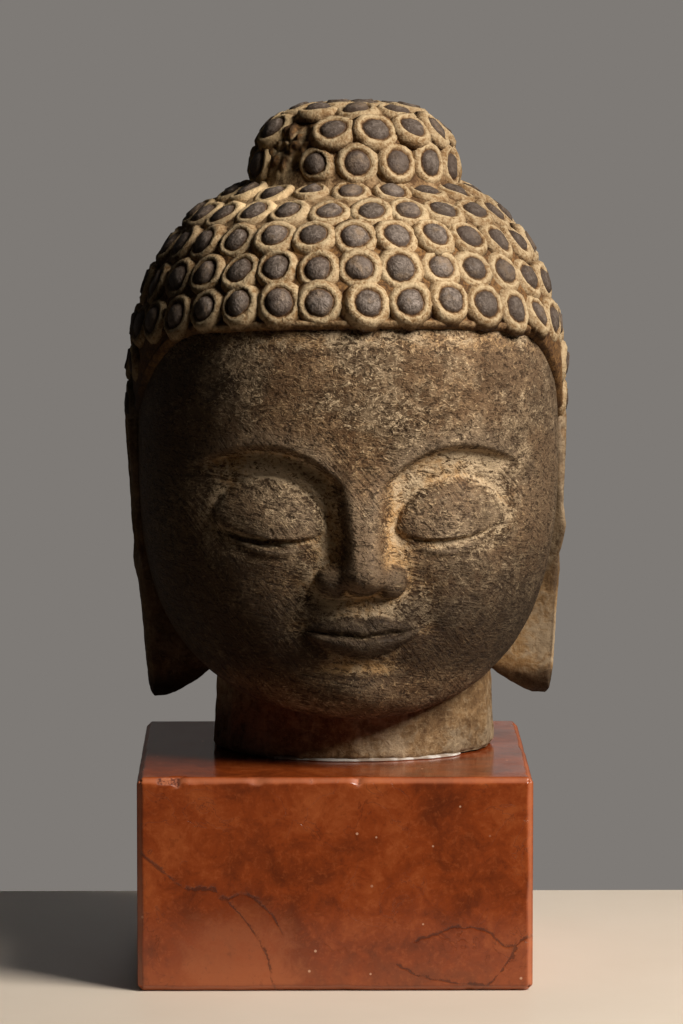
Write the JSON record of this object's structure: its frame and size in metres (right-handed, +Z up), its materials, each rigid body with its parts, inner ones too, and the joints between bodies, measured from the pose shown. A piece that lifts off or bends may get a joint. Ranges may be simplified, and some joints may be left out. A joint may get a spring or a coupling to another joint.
{
  "type": "stone buddha head",
  "caption": "Carved stone Buddha head with round snail-shell curls, a topknot and long ear lobes, bedded on a chamfered red marble plinth.",
  "frame": {"origin": "centre of the plinth's flat underside", "axes": "+Z up, through the plinth and the head, and -Y towards the front of the plinth and the face; the face itself is turned 3.5 degrees towards +X"},
  "size_m": [0.1282, 0.1365, 0.2453],
  "materials": {
    "head_stone": "matte",
    "plinth_marble": "polished",
    "bedding": "matte"
  },
  "bodies": {
    "root": {"stone_head": "head_stone", "marble_plinth": "plinth_marble", "bedding_mortar": "bedding"}
  },
  "joints": []
}
